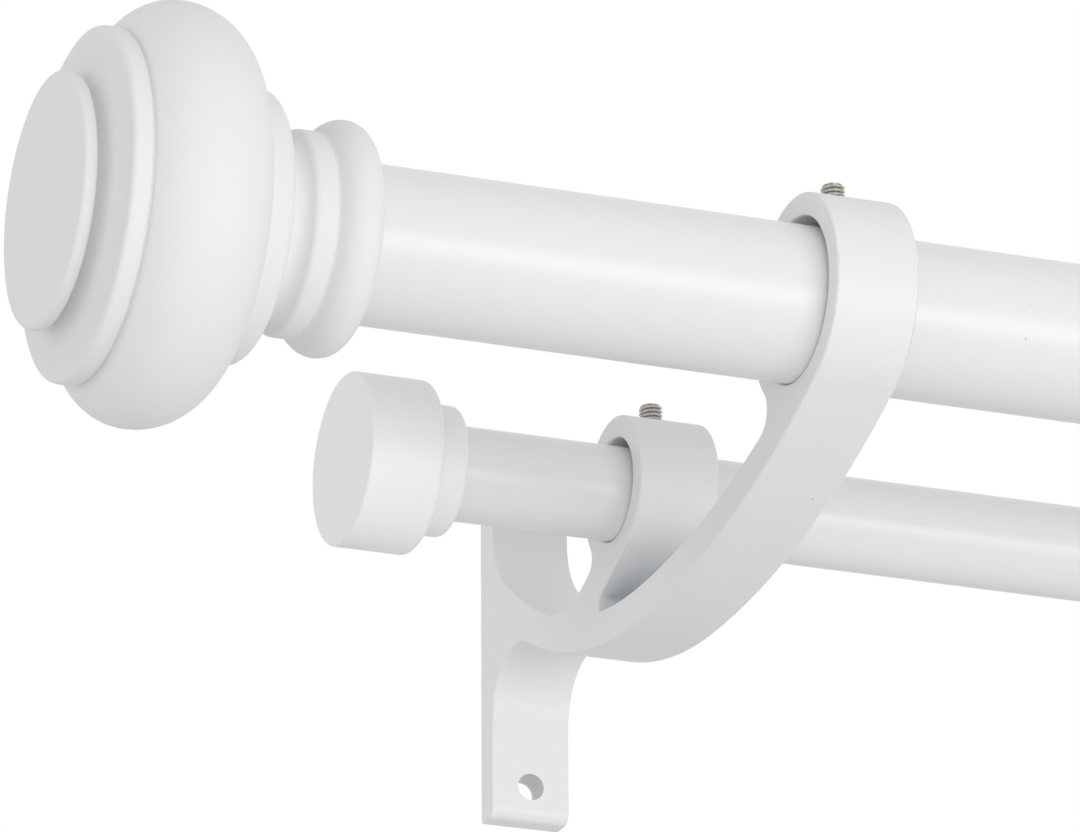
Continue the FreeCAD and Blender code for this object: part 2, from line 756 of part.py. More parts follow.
def hexagon(sketch, corner_radius):
    """Regular hexagon about the origin, its corners on a circle."""
    radius = value(corner_radius)
    corners = []
    for step in range(6):
        angle = step * math.pi / 3
        corners.append(FreeCAD.Vector(radius * math.cos(angle), radius * math.sin(angle), 0))
    for step in range(6):
        sketch.addGeometry(Part.LineSegment(corners[step], corners[(step + 1) % 6]), False)
    origin = FreeCAD.Vector(0, 0, 0)
    guide = sketch.addGeometry(Part.Circle(origin, FreeCAD.Vector(0, 0, 1), radius), True)
    sketch.addConstraint(Sketcher.Constraint("Coincident", guide, 3, -1, 1))
    rule(sketch, corner_radius, "Radius", guide)
    for step in range(6):
        sketch.addConstraint(Sketcher.Constraint("Coincident", step, 2, (step + 1) % 6, 1))
        sketch.addConstraint(Sketcher.Constraint("PointOnObject", step, 1, guide))
    for step in range(5):
        sketch.addConstraint(Sketcher.Constraint("Equal", step, step + 1))
    sketch.addConstraint(Sketcher.Constraint("PointOnObject", 0, 1, -1))


pieces = []

# Front pole and back pole, outer tubes fixed to the left bracket
FRONT = ("front_height", "front_projection")
BACK = ("back_height", "back_projection")
FRONT_RIGHT = "bracket_spacing + front_overhang"
BACK_RIGHT = "bracket_spacing + back_overhang"
pieces.append(tube("front_outer_tube", "- front_overhang", "front_overhang" + OUTER_LENGTH,
                   "front_tube_radius", *FRONT, mouth=FRONT_INNER + " + lip_clearance"))
pieces.append(tube("back_outer_tube", "- back_overhang", "back_overhang" + OUTER_LENGTH,
                   "back_tube_radius", *BACK, mouth=BACK_INNER + " + lip_clearance"))

# Inner tubes, which carry the right bracket and end pieces
front_start = "- front_overhang" + TUBE_START
back_start = "- back_overhang" + TUBE_START
inset = " - plug_length - closed_gap - glide_head_length"
pieces.append(tube("front_inner_tube", front_start,
                   "bracket_spacing + front_overhang + front_overhang" + inset,
                   FRONT_INNER, *FRONT))
pieces.append(tube("back_inner_tube", back_start,
                   "bracket_spacing + back_overhang + back_overhang" + inset,
                   BACK_INNER, *BACK))
pieces.append(glide("front_glide", front_start + " - glide_head_length",
                    FRONT_INNER_BORE, FRONT_BORE, "front_projection", "front_height"))
pieces.append(glide("back_glide", back_start + " - glide_head_length",
                    BACK_INNER_BORE, BACK_BORE, "back_projection", "back_height"))

# Brackets, the right one raised by the step between the tubes so that the poles stay level
pieces.append(double_bracket("left_bracket", "0", "0"))
pieces.append(double_bracket("right_bracket", "bracket_spacing", "tube_step"))

# Clamp screws in the ring tops
for end, x, front_radius, back_radius in (
    ("left", "0", "front_tube_radius", "back_tube_radius"),
    ("right", "bracket_spacing", FRONT_INNER, BACK_INNER),
):
    pieces.append(clamp_screw(end + "_front_clamp_screw", x, "front_projection", "front_height", front_radius))
    pieces.append(clamp_screw(end + "_back_clamp_screw", x, "back_projection", "back_height", back_radius))

# Finials on the front pole and caps on the back pole, each on a stud screwed into a plug
for end, turned, front_seat, back_seat, outward, front_bore, back_bore in (
    ("left", False, "- front_overhang", "- back_overhang", " - ", FRONT_BORE, BACK_BORE),
    ("right", True, FRONT_RIGHT, BACK_RIGHT, " + ", FRONT_INNER_BORE, BACK_INNER_BORE),
):
    pieces.append(finial(end + "_finial", front_seat + outward + "finial_length", turned))
    pieces.append(stud(end + "_finial_stud", front_seat, "finial_stud_radius", "finial_stud_depth",
                       "front_projection", "front_height", turned))
    pieces.append(tube_plug(end + "_front_plug", front_seat, front_bore, "finial_stud_radius",
                            "front_projection", "front_height", turned))
    pieces.append(end_cap(end + "_end_cap", back_seat + outward + "cap_length", turned))
    pieces.append(stud(end + "_cap_stud", back_seat, "cap_stud_radius", "cap_stud_depth",
                       "back_projection", "back_height", turned))
    pieces.append(tube_plug(end + "_back_plug", back_seat, back_bore, "cap_stud_radius",
                            "back_projection", "back_height", turned))

doc.recompute()
for item in doc.Objects:
    if "Invalid" in item.State or "Error" in item.State:
        raise RuntimeError(f"{item.Label} did not build")
for piece in pieces:
    if piece.Shape.isNull() or not piece.Shape.isValid() or len(piece.Shape.Solids) != 1:
        raise RuntimeError(f"{piece.Label} is not one sound solid")

os.makedirs("parts", exist_ok=True)
for piece in pieces:
    piece.Shape.exportStep(f"parts/{piece.Label}.step")
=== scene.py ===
"""A white double curtain pole: two telescoping steel poles, one before the other, carried by two cast
wall brackets. The front pole ends in turned finials and the back pole in plain caps."""

import math

import bmesh
import bpy
from mathutils import Matrix, Vector


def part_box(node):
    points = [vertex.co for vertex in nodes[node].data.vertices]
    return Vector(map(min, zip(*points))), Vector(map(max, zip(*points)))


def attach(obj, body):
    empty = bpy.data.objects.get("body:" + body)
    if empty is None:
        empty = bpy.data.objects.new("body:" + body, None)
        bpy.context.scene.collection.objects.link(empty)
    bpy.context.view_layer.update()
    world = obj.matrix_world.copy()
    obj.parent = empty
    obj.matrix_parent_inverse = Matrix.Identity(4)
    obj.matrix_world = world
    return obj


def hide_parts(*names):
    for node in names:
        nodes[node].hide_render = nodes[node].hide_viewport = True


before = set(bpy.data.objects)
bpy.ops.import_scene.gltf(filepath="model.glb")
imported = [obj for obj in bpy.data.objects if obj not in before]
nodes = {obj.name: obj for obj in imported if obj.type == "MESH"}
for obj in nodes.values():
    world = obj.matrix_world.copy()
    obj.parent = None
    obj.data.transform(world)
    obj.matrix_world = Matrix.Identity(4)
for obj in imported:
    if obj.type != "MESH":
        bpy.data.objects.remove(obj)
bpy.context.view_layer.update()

# Wall brackets
# Each is one zinc alloy casting: a wall plate, a curved arm to the front ring and a branch to the back
# ring. The casting is blasted, sprayed with white powder and baked, and two wall screws hold its plate.


def linear(code):
    """Turns an sRGB hex colour to the linear colour that the shaders take."""
    parts = [int(code[at:at + 2], 16) / 255 for at in (1, 3, 5)]
    return [part / 12.92 if part <= 0.04045 else ((part + 0.055) / 1.055) ** 2.4 for part in parts] + [1.0]


def add_node(tree, kind, settings, inputs):
    """Adds a node with its settings, and links or sets its inputs."""
    node = tree.nodes.new(kind)
    for name, value in settings.items():
        setattr(node, name, value)
    for name, value in inputs.items():
        if isinstance(value, bpy.types.NodeSocket):
            tree.links.new(value, node.inputs[name])
        else:
            node.inputs[name].default_value = value
    return node


def per_metre(size_mm):
    """Texture scale at which one cell of a pattern measures that many millimetres."""
    return 1000 / size_mm


def dress(names, material):
    """Gives nodes of the frame their finish."""
    for name in names:
        nodes[name].data.materials.clear()
        nodes[name].data.materials.append(material)


def start_finish(name):
    """A new material, its empty tree, and the piece's own coordinates in that tree."""
    material = bpy.data.materials.new(name)
    material.use_nodes = True
    tree = material.node_tree
    tree.nodes.clear()
    place = add_node(tree, "ShaderNodeTexCoord", {}, {}).outputs["Object"]
    return material, tree, place


def powder_coat(name, light, dark, painted_shade, roughness, peel_mm, peel_depth_mm):
    """Baked white powder coat. The powder melts into a skin with a faint orange peel, so that the gloss is
    soft and slightly broken. The film's thickness drifts, which shifts the white and the gloss a little.
    In a narrow recess, where shade falls, a cool grey is painted into the white as shade. The wall holes,
    through the plate, are kept free of this painted shade but for their lips. A few grains of dust are
    baked in."""
    drift_mm = 45
    gloss_drift = 0.04
    recess_mm = 14
    fully_shaded = 0.2
    open_face = 0.65
    plate_mm = 5.5
    hole_lip_mm = 1.5
    dust = "#A8A8A6"
    dust_spacing_mm = 9
    dust_radius_mm = 0.16
    dust_blur = 0.3
    material, tree, place = start_finish(name)
    drift = add_node(tree, "ShaderNodeTexNoise", {}, {
        "Vector": place, "Scale": per_metre(drift_mm), "Detail": 2.0, "Roughness": 0.5,
    }).outputs["Fac"]
    # A Mix node takes its two colours at sockets 6 and 7 and gives the mixed one at 2.
    white = add_node(tree, "ShaderNodeMix", {"data_type": "RGBA"}, {
        0: drift, 6: linear(dark), 7: linear(light),
    }).outputs[2]
    # Painted shade: where the ambient occlusion finds a narrow recess, a cool grey is mixed into the
    # white.
    open_sky = add_node(tree, "ShaderNodeAmbientOcclusion", {"samples": 4, "only_local": True}, {
        "Distance": recess_mm / 1000,
    }).outputs["AO"]
    shade_free = add_node(tree, "ShaderNodeMapRange", {"interpolation_type": "SMOOTHSTEP"}, {
        "Value": open_sky, "From Min": fully_shaded, "From Max": open_face,
    }).outputs["Result"]
    # The painted shade is left out of the back of the plate, where the wall holes run through, and comes
    # back over their front lips.
    before_wall = add_node(tree, "ShaderNodeSeparateXYZ", {}, {"Vector": place}).outputs["Y"]
    through_plate = add_node(tree, "ShaderNodeMapRange", {}, {
        "Value": before_wall, "From Min": -plate_mm / 1000, "From Max": (hole_lip_mm - plate_mm) / 1000,
    }).outputs["Result"]
    unshaded_or_in_plate = add_node(tree, "ShaderNodeMath", {"operation": "MAXIMUM"}, {
        0: shade_free, 1: through_plate,
    }).outputs[0]
    # The cool grey of the painted shade is mixed into the white here.
    film = add_node(tree, "ShaderNodeMix", {"data_type": "RGBA"}, {
        0: unshaded_or_in_plate, 6: linear(painted_shade), 7: white,
    }).outputs[2]
    grains = add_node(tree, "ShaderNodeTexVoronoi", {}, {
        "Vector": place, "Scale": per_metre(dust_spacing_mm),
    }).outputs["Distance"]
    grain_radius = dust_radius_mm / dust_spacing_mm
    clean = add_node(tree, "ShaderNodeMapRange", {}, {
        "Value": grains, "From Min": (1 - dust_blur) * grain_radius,
        "From Max": (1 + dust_blur) * grain_radius,
    }).outputs["Result"]
    colour = add_node(tree, "ShaderNodeMix", {"data_type": "RGBA"}, {
        0: clean, 6: linear(dust), 7: film,
    }).outputs[2]
    gloss = add_node(tree, "ShaderNodeMapRange", {}, {
        "Value": drift, "To Min": roughness - gloss_drift, "To Max": roughness + gloss_drift,
    }).outputs["Result"]
    peel = add_node(tree, "ShaderNodeTexNoise", {}, {
        "Vector": place, "Scale": per_metre(peel_mm), "Detail": 1.0, "Roughness": 0.4,
    }).outputs["Fac"]
    skin = add_node(tree, "ShaderNodeBump", {}, {
        "Strength": 1.0, "Distance": peel_depth_mm / 1000, "Height": peel,
    }).outputs["Normal"]
    shader = add_node(tree, "ShaderNodeBsdfPrincipled", {}, {
        "Base Color": colour, "Roughness": gloss, "Normal": skin, "IOR": 1.5,
    })
    add_node(tree, "ShaderNodeOutputMaterial", {}, {"Surface": shader.outputs["BSDF"]})
    return material


# The cool grey given for recesses is painted shade.
bracket_coat = powder_coat(
    "powder_coat_on_zinc_casting", light="#E9E9E9", dark="#E5E5E5", painted_shade="#BCC2C9",
    roughness=0.48, peel_mm=1.6, peel_depth_mm=0.01)
dress(["left_bracket", "right_bracket"], bracket_coat)

# Telescoping tubes
# Each pole is two steel tubes, rolled from strip, welded and powder coated. The inner tube slides in the
# outer one, whose mouth is rolled in to guide it. The tubes rest in the bracket rings.

# The cool grey given for recesses is painted shade.
tube_coat = powder_coat(
    "powder_coat_on_steel_tube", light="#E8E8E8", dark="#E5E5E5", painted_shade="#BFC2C6",
    roughness=0.29, peel_mm=2.2, peel_depth_mm=0.008)
dress(["front_outer_tube", "back_outer_tube", "front_inner_tube", "back_inner_tube"], tube_coat)

# Glides and tube plugs
# Injection moulded nylon. A glide steadies the hidden end of each inner tube, and a ribbed plug pressed
# into each open tube end holds the stud of the finial or cap.


def moulded_nylon(name, colour, shade):
    """Natural nylon straight from the mould: milky, with a fine spark-eroded grain and a dull sheen. The
    grain is drawn coarser than it is, to show."""
    grain_mm = 0.35
    grain_depth_mm = 0.01
    cloud_mm = 6
    material, tree, place = start_finish(name)
    cloud = add_node(tree, "ShaderNodeTexNoise", {}, {
        "Vector": place, "Scale": per_metre(cloud_mm), "Detail": 3.0,
    }).outputs["Fac"]
    milk = add_node(tree, "ShaderNodeMix", {"data_type": "RGBA"}, {
        0: cloud, 6: linear(shade), 7: linear(colour),
    }).outputs[2]
    grain = add_node(tree, "ShaderNodeTexNoise", {}, {
        "Vector": place, "Scale": per_metre(grain_mm), "Detail": 2.0,
    }).outputs["Fac"]
    skin = add_node(tree, "ShaderNodeBump", {}, {
        "Strength": 1.0, "Distance": grain_depth_mm / 1000, "Height": grain,
    }).outputs["Normal"]
    shader = add_node(tree, "ShaderNodeBsdfPrincipled", {}, {
        "Base Color": milk, "Roughness": 0.5, "Normal": skin, "IOR": 1.53,
    })
    add_node(tree, "ShaderNodeOutputMaterial", {}, {"Surface": shader.outputs["BSDF"]})
    return material


nylon = moulded_nylon("moulded_nylon", colour="#E2DFD6", shade="#D6D2C7")
dress(["front_glide", "back_glide"], nylon)
dress(["left_front_plug", "right_front_plug", "left_back_plug", "right_back_plug"], nylon)

# Finials
# Each is turned to its rings and bulge from cast resin, drilled for a stud, and sprayed with several coats
# of matte white lacquer, which fill its corners and round its edges. It screws on to the front pole's end.


def to_peak(start, peak, count=24):
    """Points of the arc that leaves start and levels out at its peak."""
    run, rise = peak[0] - start[0], peak[1] - start[1]
    radius = (run ** 2 + rise ** 2) / (2 * rise)
    sweep = math.atan2(run / radius, 1 - rise / radius)
    turns = [sweep * part / count for part in range(count, -1, -1)]
    return [(peak[0] - radius * math.sin(turn), peak[1] - radius * (1 - math.cos(turn))) for turn in turns]


def swell(start, peak, end):
    """Two arcs that meet level at their peak: a bulge, or a hollow where the peak is lower."""
    return to_peak(start, peak) + to_peak(end, peak)[-2::-1]


def build_up(corners, coat_mm):
    """Rounds a profile as coats of lacquer do: each point moves to the middle of the stretch about it, out
    of the edges and into the corners. The ends, on the axis, stay."""
    spacing_mm = 0.1
    coats = 2
    kept_every = 5
    points = []
    for here, there in zip(corners, corners[1:]):
        count = max(1, round(math.dist(here, there) / spacing_mm))
        for part in range(count):
            points.append(Vector(here).lerp(Vector(there), part / count))
    points.append(Vector(corners[-1]))
    reach = round(coat_mm / spacing_mm)
    for coat in range(coats):
        rounded = []
        for at in range(len(points)):
            room = min(reach, at, len(points) - 1 - at)
            stretch = points[at - room:at + room + 1]
            rounded.append(sum(stretch, Vector((0, 0))) / len(stretch))
        points = rounded
    return points[:-1:kept_every] + [points[-1]]


def turn_on_lathe(name, profile, front, inward):
    """Closed mesh of a profile of axial and radial millimetres, turned about the pole's axis."""
    sides = 96
    on_axis_mm = 1e-6
    mesh = bmesh.new()
    rings = []
    for along, radius in profile:
        middle = front + inward * along / 1000
        ring = []
        for side in range(sides if radius > on_axis_mm else 1):
            angle = 2 * math.pi * side / sides
            outward = Vector((0, math.cos(angle), math.sin(angle)))
            ring.append(mesh.verts.new(middle + outward * radius / 1000))
        rings.append(ring)
    for near, far in zip(rings, rings[1:]):
        for side in range(sides):
            corners = [near[side % len(near)], near[(side + 1) % len(near)]]
            corners += [far[(side + 1) % len(far)], far[side % len(far)]]
            mesh.faces.new(list(dict.fromkeys(corners)))
    bmesh.ops.recalc_face_normals(mesh, faces=mesh.faces)
    turned = bpy.data.meshes.new(name)
    mesh.to_mesh(turned)
    mesh.free()
    turned.shade_smooth()
    piece = bpy.data.objects.new(name, turned)
    bpy.context.scene.collection.objects.link(piece)
    return piece


def matte_lacquer(name, light, dark):
    """Matte white lacquer sprayed on a turned blank. Fine droplets, drawn coarser than they are to show,
    scatter the gloss to a wide sheen, and the film's thickness drifts a little over the bulge."""
    drift_mm = 30
    droplet_mm = 0.5
    droplet_depth_mm = 0.006
    glossiest = 0.58
    dullest = 0.72
    material, tree, place = start_finish(name)
    drift = add_node(tree, "ShaderNodeTexNoise", {}, {
        "Vector": place, "Scale": per_metre(drift_mm), "Detail": 2.0,
    }).outputs["Fac"]
    white = add_node(tree, "ShaderNodeMix", {"data_type": "RGBA"}, {
        0: drift, 6: linear(dark), 7: linear(light),
    }).outputs[2]
    droplets = add_node(tree, "ShaderNodeTexNoise", {}, {
        "Vector": place, "Scale": per_metre(droplet_mm), "Detail": 2.0,
    }).outputs["Fac"]
    gloss = add_node(tree, "ShaderNodeMapRange", {}, {
        "Value": droplets, "To Min": glossiest, "To Max": dullest,
    }).outputs["Result"]
    skin = add_node(tree, "ShaderNodeBump", {}, {
        "Strength": 1.0, "Distance": droplet_depth_mm / 1000, "Height": droplets,
    }).outputs["Normal"]
    shader = add_node(tree, "ShaderNodeBsdfPrincipled", {}, {
        "Base Color": white, "Roughness": gloss, "Normal": skin, "IOR": 1.48,
    })
    add_node(tree, "ShaderNodeOutputMaterial", {}, {"Surface": shader.outputs["BSDF"]})
    return material


# Where each form ends or peaks, in millimetres from the front face
disc_end = 2.2
cove_floor = 5.34
rim_start = 5.2
rim_end = 8.6
bulge_peak = 17.6
bulge_end = 29.0
step_bend = 31.8
step_end = 34.0
neck_waist = 36.3
collar_start = 38.5
collar_end = 42.4
bead_peak = 46.5
finial_length = 50.0
stud_hole_depth = 21.0

# Radii in millimetres, and of a curved form those of its start, its peak or floor, and its end
disc_radius = 20.2
cove_radii = (16.5, 24.6, 26.4)
rim_radius = 27.8
bulge_radii = (26.5, 33.3, 22.7)
step_radii = (21.8, 19.6)
neck_radii = (15.2, 14.2, 15.5)
collar_radius = 16.3
bead_radii = (15.7, 18.7, 15.6)
stud_hole_radius = 3.05

disc = [(0, 0), (0, disc_radius), (disc_end, disc_radius)]
cove_across = swell(*zip(cove_radii, (disc_end, cove_floor, rim_start)))
cove = [(along, radius) for radius, along in cove_across]
rim = [(rim_start, rim_radius), (rim_end, rim_radius)]
bulge = swell(*zip((rim_end, bulge_peak, bulge_end), bulge_radii))
step_nose = to_peak((step_end, step_radii[1]), (step_bend, step_radii[0]))
step = [(bulge_end, step_radii[0])] + step_nose[::-1]
neck = swell(*zip((step_end, neck_waist, collar_start), neck_radii))
collar = [(collar_start, collar_radius), (collar_end, collar_radius)]
bead = swell(*zip((collar_end, bead_peak, finial_length), bead_radii))
stud_hole_end = finial_length - stud_hole_depth
stud_hole = [(finial_length, stud_hole_radius), (stud_hole_end, stud_hole_radius), (stud_hole_end, 0)]
lacquered = build_up(disc + cove + rim + bulge + step + neck + collar + bead + stud_hole, coat_mm=0.7)
lacquer = matte_lacquer("matte_lacquer_on_resin", light="#EAEAE9", dark="#E6E6E5")
for end, body, inward in (("left", "fixed_end", 1), ("right", "sliding_end", -1)):
    low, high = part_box(end + "_finial")
    front = (low + high) / 2 - Vector((inward * (high.x - low.x) / 2, 0, 0))
    turned = turn_on_lathe(end + "_lacquered_finial", lacquered, front, Vector((inward, 0, 0)))
    turned.data.materials.append(lacquer)
    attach(turned, body)
    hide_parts(end + "_finial")

# End caps
# Each is a turned alloy slug with a smaller collar, powder coated like the poles. It screws on to the
# back pole's end.

# The cool grey given for recesses is painted shade.
cap_coat = powder_coat(
    "powder_coat_on_turned_cap", light="#F0F0F0", dark="#ECECEC", painted_shade="#C4C7CA",
    roughness=0.46, peel_mm=1.8, peel_depth_mm=0.008)
dress(["left_end_cap", "right_end_cap"], cap_coat)

# Studs
# Short lengths of zinc plated threaded rod, M6 in the finials and M4 in the caps. One end is glued into
# the finial or cap, and the other screws into the tube's plug.


def thread_cutter():
    """Tree that cuts a screw thread. A groove is swept along a helix, set on each screw of a row, and
    taken out of the plain blanks, whose chamfers and sockets stay."""
    tree = bpy.data.node_groups.new("thread_cutter", "GeometryNodeTree")
    inputs = {
        "Blanks": "Geometry", "Screws": "Int", "Foot": "Vector", "Stride": "Vector", "Axis": "Vector",
        "Crest Radius": "Float", "Pitch": "Float", "Length": "Float", "Plating": "Material",
    }
    for name, kind in inputs.items():
        tree.interface.new_socket(name, in_out="INPUT", socket_type="NodeSocket" + kind)
    tree.interface.new_socket("Threaded", in_out="OUTPUT", socket_type="NodeSocketGeometry")
    given = add_node(tree, "NodeGroupInput", {}, {}).outputs

    # Sizes of the groove, as shares of the pitch. It stands a little proud of the crest, to cut clear, and
    # runs on by a pitch at either end.
    depth = 0.61
    proud = 0.04
    shares = {
        "height": depth + proud, "inset": (depth - proud) / 2, "root": 0.18, "mouth": 0.93,
        "start": -1.0, "run_on": 2.0,
    }
    size = {}
    for name, share in shares.items():
        size[name] = add_node(tree, "ShaderNodeMath", {"operation": "MULTIPLY"}, {
            0: given["Pitch"], 1: share,
        }).outputs[0]
    middle = add_node(tree, "ShaderNodeMath", {"operation": "SUBTRACT"}, {
        0: given["Crest Radius"], 1: size["inset"],
    }).outputs[0]
    run = add_node(tree, "ShaderNodeMath", {"operation": "ADD"}, {
        0: given["Length"], 1: size["run_on"],
    }).outputs[0]
    turns = add_node(tree, "ShaderNodeMath", {"operation": "DIVIDE"}, {
        0: run, 1: given["Pitch"],
    }).outputs[0]
    steps_per_turn = 48
    helix = add_node(tree, "GeometryNodeCurveSpiral", {}, {
        "Resolution": steps_per_turn, "Rotations": turns, "Start Radius": middle,
        "End Radius": middle, "Height": run, "Reverse": True,
    })
    place = add_node(tree, "GeometryNodeInputPosition", {}, {}).outputs["Position"]
    outward = add_node(tree, "ShaderNodeVectorMath", {"operation": "MULTIPLY"}, {0: place, 1: (1, 1, 0)})
    upright = add_node(tree, "GeometryNodeSetCurveNormal", {"mode": "FREE"}, {
        "Curve": helix.outputs["Curve"], "Normal": outward.outputs["Vector"],
    })
    notch = add_node(tree, "GeometryNodeCurvePrimitiveQuadrilateral", {"mode": "TRAPEZOID"}, {
        "Height": size["height"], "Bottom Width": size["root"], "Top Width": size["mouth"], "Offset": 0.0,
    })
    open_side_out = add_node(tree, "GeometryNodeTransform", {}, {
        "Geometry": notch.outputs["Curve"], "Rotation": (0, 0, -math.pi / 2),
    })
    groove = add_node(tree, "GeometryNodeCurveToMesh", {}, {
        "Curve": upright.outputs["Curve"], "Profile Curve": open_side_out.outputs["Geometry"],
        "Fill Caps": True,
    })
    start = add_node(tree, "ShaderNodeCombineXYZ", {}, {"Z": size["start"]})
    lowered = add_node(tree, "GeometryNodeTransform", {}, {
        "Geometry": groove.outputs["Mesh"], "Translation": start.outputs["Vector"],
    })
    row = add_node(tree, "GeometryNodeMeshLine", {}, {
        "Count": given["Screws"], "Start Location": given["Foot"], "Offset": given["Stride"],
    })
    along = add_node(tree, "FunctionNodeAlignRotationToVector", {"axis": "Z"}, {"Vector": given["Axis"]})
    grooves = add_node(tree, "GeometryNodeInstanceOnPoints", {}, {
        "Points": row.outputs["Mesh"], "Instance": lowered.outputs["Geometry"],
        "Rotation": along.outputs["Rotation"],
    })
    cut = add_node(tree, "GeometryNodeMeshBoolean", {"operation": "DIFFERENCE", "solver": "MANIFOLD"}, {
        "Mesh 1": given["Blanks"], "Mesh 2": grooves.outputs["Instances"],
    })
    whole = add_node(tree, "GeometryNodeRealizeInstances", {}, {"Geometry": cut.outputs["Mesh"]})
    plated = add_node(tree, "GeometryNodeSetMaterial", {}, {
        "Geometry": whole.outputs["Geometry"], "Material": given["Plating"],
    })
    add_node(tree, "NodeGroupOutput", {}, {"Threaded": plated.outputs["Geometry"]})
    return tree


cutter = thread_cutter()


def cut_threads(name, blanks, axis, pitch_mm, plating, body):
    """Threads the plain rods of the frame that lie on one body, one beside the other, as one piece."""
    weld = 1e-7
    crease_degrees = 25
    joined = bmesh.new()
    feet = []
    for blank in blanks:
        joined.from_mesh(nodes[blank].data)
        low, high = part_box(blank)
        middle = (low + high) / 2
        length = (high - low).dot(axis)
        feet.append(middle - axis * length / 2)
    radius = min(high - low) / 2
    bmesh.ops.remove_doubles(joined, verts=joined.verts, dist=weld)
    mesh = bpy.data.meshes.new(name)
    joined.to_mesh(mesh)
    joined.free()
    piece = bpy.data.objects.new(name, mesh)
    bpy.context.scene.collection.objects.link(piece)
    sizes = {
        "Screws": len(feet), "Foot": feet[0], "Stride": feet[-1] - feet[0], "Axis": axis,
        "Crest Radius": radius, "Pitch": pitch_mm / 1000, "Length": length, "Plating": plating,
    }
    modifier = piece.modifiers.new("thread", "NODES")
    modifier.node_group = cutter
    for item in cutter.interface.items_tree:
        if item.in_out == "INPUT" and item.name in sizes:
            modifier[item.identifier] = sizes[item.name]
    evaluated = piece.evaluated_get(bpy.context.evaluated_depsgraph_get())
    threaded = bpy.data.meshes.new_from_object(evaluated)
    piece.modifiers.clear()
    piece.data = threaded
    threaded.name = name
    threaded.shade_smooth()
    threaded.set_sharp_from_angle(angle=math.radians(crease_degrees))
    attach(piece, body)
    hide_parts(*blanks)


def plated_steel(name, bright, film, painted_root_shade, roughness):
    """Plated steel thread: bright rolled flanks with a faint film and fine scratches on the plating, and a
    dark colour painted into the roots as shade, so that the turns stand out as bright and dark lines."""
    film_mm = 0.5
    film_dulls = 0.1
    bare_shines = 0.08
    scratch_mm = 0.12
    scratch_depth_mm = 0.002
    root_mm = 0.3
    dark_root = 0.5
    unshaded_crest = 0.95
    material, tree, place = start_finish(name)
    patches = add_node(tree, "ShaderNodeTexNoise", {}, {
        "Vector": place, "Scale": per_metre(film_mm), "Detail": 4.0,
    }).outputs["Fac"]
    filmed = add_node(tree, "ShaderNodeMix", {"data_type": "RGBA"}, {
        0: patches, 6: linear(film), 7: linear(bright),
    }).outputs[2]
    # Painted shade: where the ambient occlusion finds the roots of the thread, a dark colour is mixed in.
    open_sky = add_node(tree, "ShaderNodeAmbientOcclusion", {"samples": 8}, {
        "Distance": root_mm / 1000,
    }).outputs["AO"]
    on_crest = add_node(tree, "ShaderNodeMapRange", {}, {
        "Value": open_sky, "From Min": dark_root, "From Max": unshaded_crest,
    }).outputs["Result"]
    metal = add_node(tree, "ShaderNodeMix", {"data_type": "RGBA"}, {
        0: on_crest, 6: linear(painted_root_shade), 7: filmed,
    }).outputs[2]
    shine = add_node(tree, "ShaderNodeMapRange", {}, {
        "Value": patches, "To Min": roughness + film_dulls, "To Max": roughness - bare_shines,
    }).outputs["Result"]
    scratches = add_node(tree, "ShaderNodeTexNoise", {}, {
        "Vector": place, "Scale": per_metre(scratch_mm), "Detail": 2.0,
    }).outputs["Fac"]
    skin = add_node(tree, "ShaderNodeBump", {}, {
        "Strength": 0.5, "Distance": scratch_depth_mm / 1000, "Height": scratches,
    }).outputs["Normal"]
    shader = add_node(tree, "ShaderNodeBsdfPrincipled", {}, {
        "Base Color": metal, "Metallic": 1.0, "Roughness": shine, "Normal": skin,
    })
    add_node(tree, "ShaderNodeOutputMaterial", {}, {"Surface": shader.outputs["BSDF"]})
    return material


# The darkest colour given is painted shade in the thread roots.
zinc = plated_steel("zinc_plated_steel", bright="#DADDE0", film="#BFC4C9", painted_root_shade="#6E7276", roughness=0.3)
along_pole = Vector((1, 0, 0))
m6_pitch_mm = 1.0
m4_pitch_mm = 0.7
for end, body in (("left", "fixed_end"), ("right", "sliding_end")):
    for kind, pitch_mm in (("finial", m6_pitch_mm), ("cap", m4_pitch_mm)):
        rod = end + "_" + kind + "_stud"
        cut_threads(end + "_" + kind + "_thread", [rod], along_pole, pitch_mm, zinc, body)

# Clamp screws
# Headless M4 screws with a hexagon socket, nickel plated. Each is turned down through the top of a ring
# until its point holds the tube, and stands a few millimetres proud.

# The darkest colour given is painted shade in the thread roots.
nickel = plated_steel(
    "nickel_plated_steel", bright="#DFDDD7", film="#C1BEB7", painted_root_shade="#373530", roughness=0.2)
upward = Vector((0, 0, 1))
for end, body in (("left", "fixed_end"), ("right", "sliding_end")):
    pair = [end + "_front_clamp_screw", end + "_back_clamp_screw"]
    cut_threads(end + "_clamp_screws", pair, upward, m4_pitch_mm, nickel, body)

# Studio
# A pale matte floor lies well under the pole, in a white surround. A wide low softbox stands before the
# pole and a smaller one to its left. The floor is backlit, so that the camera sees it as plain white.

